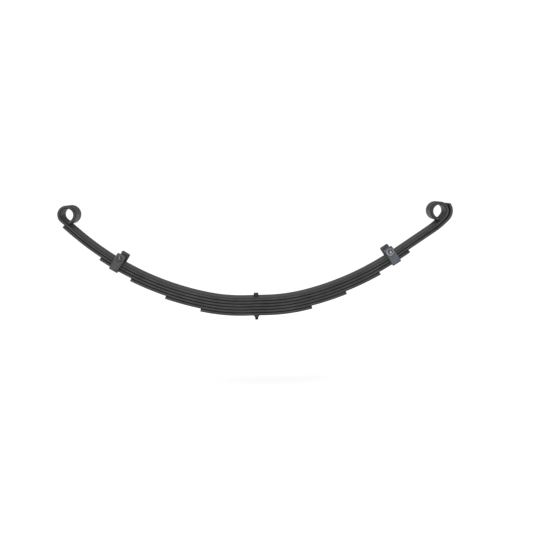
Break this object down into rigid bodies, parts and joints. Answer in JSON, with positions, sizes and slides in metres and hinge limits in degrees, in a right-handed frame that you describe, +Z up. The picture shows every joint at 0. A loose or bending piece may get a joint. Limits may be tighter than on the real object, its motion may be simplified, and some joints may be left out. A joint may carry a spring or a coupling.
{
  "type": "leaf spring",
  "caption": "Semi-elliptic leaf spring: nested curved leaves on a centre bolt, rolled eyes turned up at both ends, and a bolted rebound clip on each arm.",
  "frame": {"origin": "centre bolt's axis at the main leaf's upper face, where the bolt's round head stands", "axes": "+X along the spring towards the eye that the second leaf wraps, +Y across the leaves to the clip side with the left bolt's nut, +Z up, away from the stack"},
  "size_m": [1.0634, 0.0982, 0.3283],
  "materials": {
    "black_paint": "satin",
    "clip_black": "satin",
    "clip_grey": "satin",
    "zinc": "plated"
  },
  "bodies": {
    "seat": {"main_leaf_centre": "black_paint", "second_leaf_centre": "black_paint", "third_leaf_centre": "black_paint", "fourth_leaf_centre": "black_paint", "fifth_leaf_centre": "black_paint", "sixth_leaf": "black_paint", "centre_bolt": "black_paint", "centre_bolt_nut": "black_paint"},
    "left_arm": {"main_leaf_left": "black_paint", "second_leaf_left": "black_paint", "third_leaf_left": "black_paint", "fourth_leaf_left": "black_paint", "fifth_leaf_left": "black_paint", "left_clip_strap": "clip_black", "left_clip_rivet": "clip_black", "left_clip_bolt": "clip_black", "left_clip_nut": "clip_black", "left_clip_washer": "zinc", "left_clip_sleeve": "clip_black"},
    "right_arm": {"main_leaf_right": "black_paint", "second_leaf_right": "black_paint", "third_leaf_right": "black_paint", "fourth_leaf_right": "black_paint", "fifth_leaf_right": "black_paint", "right_clip_strap": "clip_grey", "right_clip_rivet": "clip_grey", "right_clip_bolt": "clip_grey", "right_clip_nut": "clip_grey", "right_clip_washer": "zinc", "right_clip_sleeve": "clip_grey"}
  },
  "joints": [
    {"name": "left_arm_flex", "type": "hinge", "parent": "seat", "child": "left_arm", "pos_m": [-0.17102, 0, 0.0172], "axis": [0, -1, 0], "range_deg": [-2, 10], "stiffness_Nm_per_rad": 6200, "deforming": ["main_leaf_centre", "second_leaf_centre", "third_leaf_centre", "fourth_leaf_centre", "fifth_leaf_centre"]},
    {"name": "right_arm_flex", "type": "hinge", "parent": "seat", "child": "right_arm", "pos_m": [0.17102, 0, 0.0172], "axis": [0, 1, 0], "range_deg": [-2, 10], "stiffness_Nm_per_rad": 6200, "deforming": ["main_leaf_centre", "second_leaf_centre", "third_leaf_centre", "fourth_leaf_centre", "fifth_leaf_centre"]}
  ]
}
